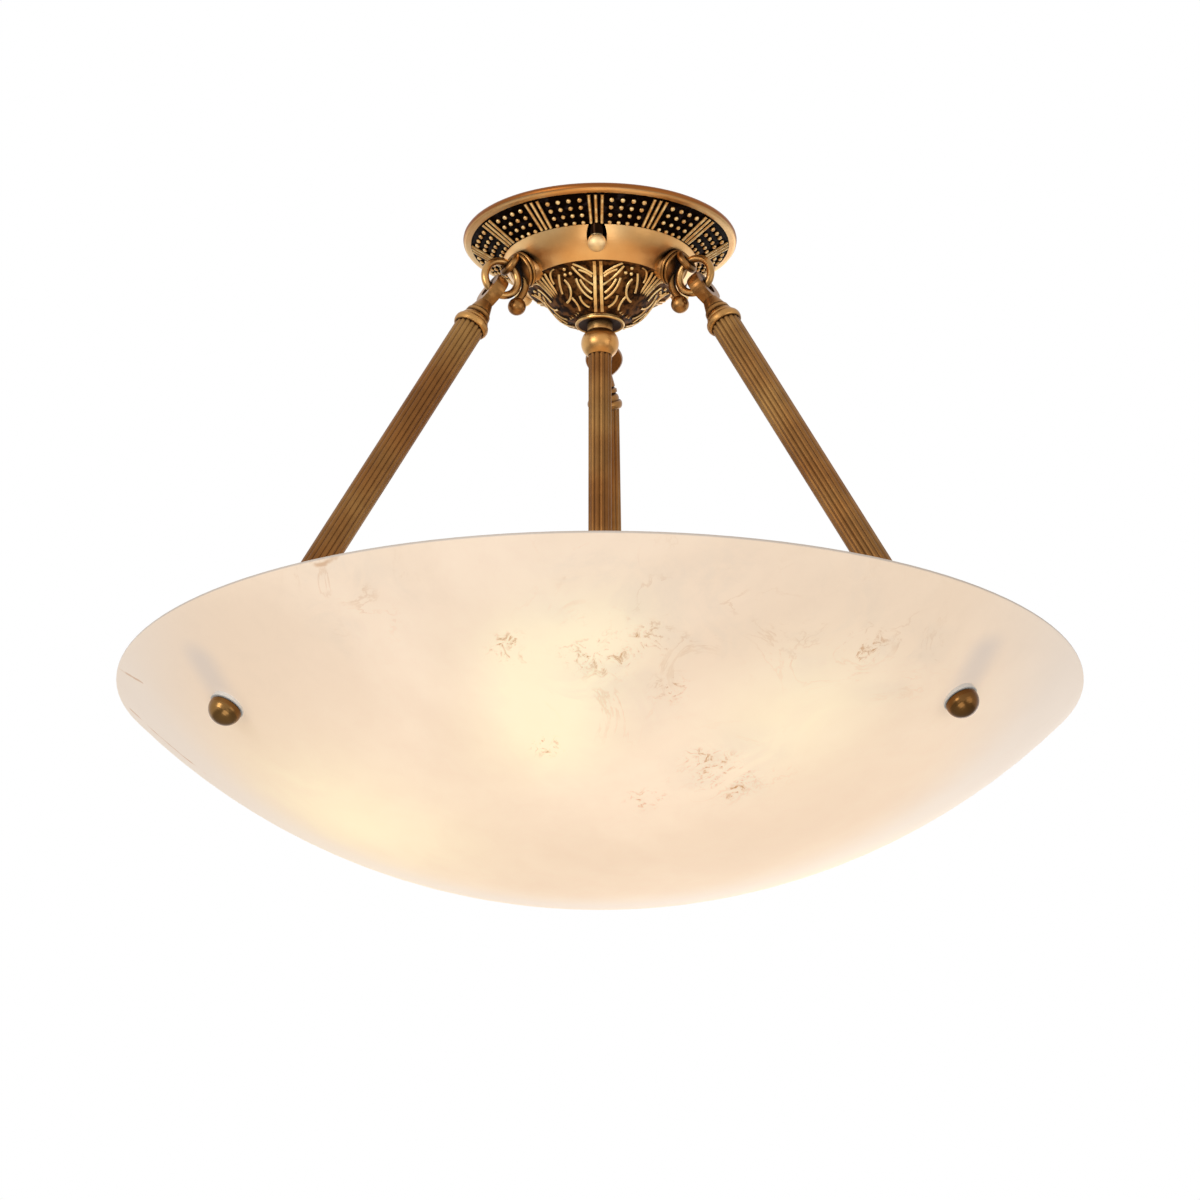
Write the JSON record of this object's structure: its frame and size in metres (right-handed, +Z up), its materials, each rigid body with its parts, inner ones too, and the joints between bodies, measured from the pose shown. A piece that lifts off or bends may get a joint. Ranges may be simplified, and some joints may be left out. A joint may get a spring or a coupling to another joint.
{
  "type": "alabaster bowl ceiling light",
  "caption": "Semi-flush ceiling light: ornamental brass canopy, hooks, rings and reeded arms carry a shallow alabaster bowl round a lamp cluster.",
  "frame": {"origin": "middle of the ceiling plate's two fixing slots, in the plane of the ceiling", "axes": "+Z up, square to the ceiling; -Y is the front, with one cap nut and one lamp towards it and an arm to each side; +X to the right"},
  "size_m": [0.5, 0.5, 0.3618],
  "materials": {
    "antique_brass": "antique brass, dark brown patina in the recesses",
    "polished_brass": "antique brass, rubbed bright",
    "zinc_steel": "zinc plated",
    "ivory_plastic": "moulded",
    "porcelain": "white porcelain",
    "bulb_glass": "frosted",
    "clear_silicone": "translucent silicone",
    "alabaster": "polished, translucent, lit from inside"
  },
  "bodies": {
    "ceiling_body": {"ceiling_plate": "zinc_steel", "canopy_studs": "zinc_steel", "stud_locknuts": "zinc_steel", "terminal_block": "ivory_plastic", "earth_screw": "polished_brass", "canopy_dish": "antique_brass", "bead_band": "antique_brass", "ornament_dome": "antique_brass", "finial_cup": "polished_brass", "finial_ball": "polished_brass", "centre_nipple": "zinc_steel", "nipple_locknut": "zinc_steel", "hook_1": "antique_brass", "hook_2": "antique_brass", "hook_3": "antique_brass", "stem_tube": "antique_brass", "hub_nipple": "zinc_steel", "lamp_hub": "antique_brass", "hub_cap": "antique_brass", "holder_arms": "zinc_steel", "lamp_holder_1": "porcelain", "lamp_holder_2": "porcelain", "lamp_holder_3": "porcelain"},
    "shade_frame": {"arm_head_1": "antique_brass", "arm_head_2": "antique_brass", "arm_head_3": "antique_brass", "arm_collar_1": "antique_brass", "arm_collar_2": "antique_brass", "arm_collar_3": "antique_brass", "arm_tube_1": "antique_brass", "arm_tube_2": "antique_brass", "arm_tube_3": "antique_brass", "arm_rod_1": "zinc_steel", "arm_rod_2": "zinc_steel", "arm_rod_3": "zinc_steel", "inner_washers": "antique_brass", "inner_pads": "clear_silicone", "outer_pads": "clear_silicone", "bowl": "alabaster"},
    "ring_body_1": {"ring_1": "polished_brass"},
    "ring_body_2": {"ring_2": "polished_brass"},
    "ring_body_3": {"ring_3": "polished_brass"},
    "knob_body_1": {"knob_1": "polished_brass"},
    "knob_body_2": {"knob_2": "polished_brass"},
    "knob_body_3": {"knob_3": "polished_brass"},
    "bulb_body_1": {"bulb_1": "bulb_glass"},
    "bulb_body_2": {"bulb_2": "bulb_glass"},
    "bulb_body_3": {"bulb_3": "bulb_glass"},
    "cap_nut_body_1": {"cap_nut_1": "polished_brass"},
    "cap_nut_body_2": {"cap_nut_2": "polished_brass"},
    "cap_nut_body_3": {"cap_nut_3": "polished_brass"}
  },
  "joints": [
    {"name": "shade_turn", "type": "hinge", "parent": "ceiling_body", "child": "shade_frame", "pos_m": [0, 0, 0], "axis": [0, 0, 1], "range_deg": [-2, 2]},
    {"name": "ring_1_swing", "type": "hinge", "parent": "ceiling_body", "child": "ring_body_1", "pos_m": [-0.04718, -0.02724, -0.02714], "axis": [-0.7502, -0.4331, 0.4996], "range_deg": [-7, 7]},
    {"name": "ring_2_swing", "type": "hinge", "parent": "ceiling_body", "child": "ring_body_2", "pos_m": [0.04718, -0.02724, -0.02714], "axis": [0.7502, -0.4331, 0.4996], "range_deg": [-7, 7]},
    {"name": "ring_3_swing", "type": "hinge", "parent": "ceiling_body", "child": "ring_body_3", "pos_m": [0, 0.05448, -0.02714], "axis": [0, 0.8663, 0.4996], "range_deg": [-7, 7]},
    {"name": "knob_1_turn", "type": "hinge", "parent": "shade_frame", "child": "knob_body_1", "pos_m": [-0.18329, -0.10582, -0.29968], "axis": [-0.4326, -0.2498, -0.8663], "continuous": true},
    {"name": "knob_2_turn", "type": "hinge", "parent": "shade_frame", "child": "knob_body_2", "pos_m": [0.18329, -0.10582, -0.29968], "axis": [0.4326, -0.2498, -0.8663], "continuous": true},
    {"name": "knob_3_turn", "type": "hinge", "parent": "shade_frame", "child": "knob_body_3", "pos_m": [0, 0.21165, -0.29968], "axis": [0, 0.4996, -0.8663], "continuous": true},
    {"name": "cap_nut_1_turn", "type": "hinge", "parent": "ceiling_body", "child": "cap_nut_body_1", "pos_m": [0, -0.049, -0.02], "axis": [0, 0, 1], "continuous": true},
    {"name": "cap_nut_2_turn", "type": "hinge", "parent": "ceiling_body", "child": "cap_nut_body_2", "pos_m": [0.04244, 0.0245, -0.02], "axis": [0, 0, 1], "continuous": true},
    {"name": "cap_nut_3_turn", "type": "hinge", "parent": "ceiling_body", "child": "cap_nut_body_3", "pos_m": [-0.04244, 0.0245, -0.02], "axis": [0, 0, 1], "continuous": true},
    {"name": "bulb_1_turn", "type": "hinge", "parent": "ceiling_body", "child": "bulb_body_1", "pos_m": [0, -0.06, -0.29], "axis": [0, -1, 0], "continuous": true},
    {"name": "bulb_2_turn", "type": "hinge", "parent": "ceiling_body", "child": "bulb_body_2", "pos_m": [0.05196, 0.03, -0.29], "axis": [0.866, 0.5, 0], "continuous": true},
    {"name": "bulb_3_turn", "type": "hinge", "parent": "ceiling_body", "child": "bulb_body_3", "pos_m": [-0.05196, 0.03, -0.29], "axis": [-0.866, 0.5, 0], "continuous": true}
  ],
  "couplings": [
    {"joint": "ring_1_swing", "follows": "shade_turn", "ratio": 3.3223},
    {"joint": "ring_2_swing", "follows": "shade_turn", "ratio": 3.3223},
    {"joint": "ring_3_swing", "follows": "shade_turn", "ratio": 3.3223}
  ]
}
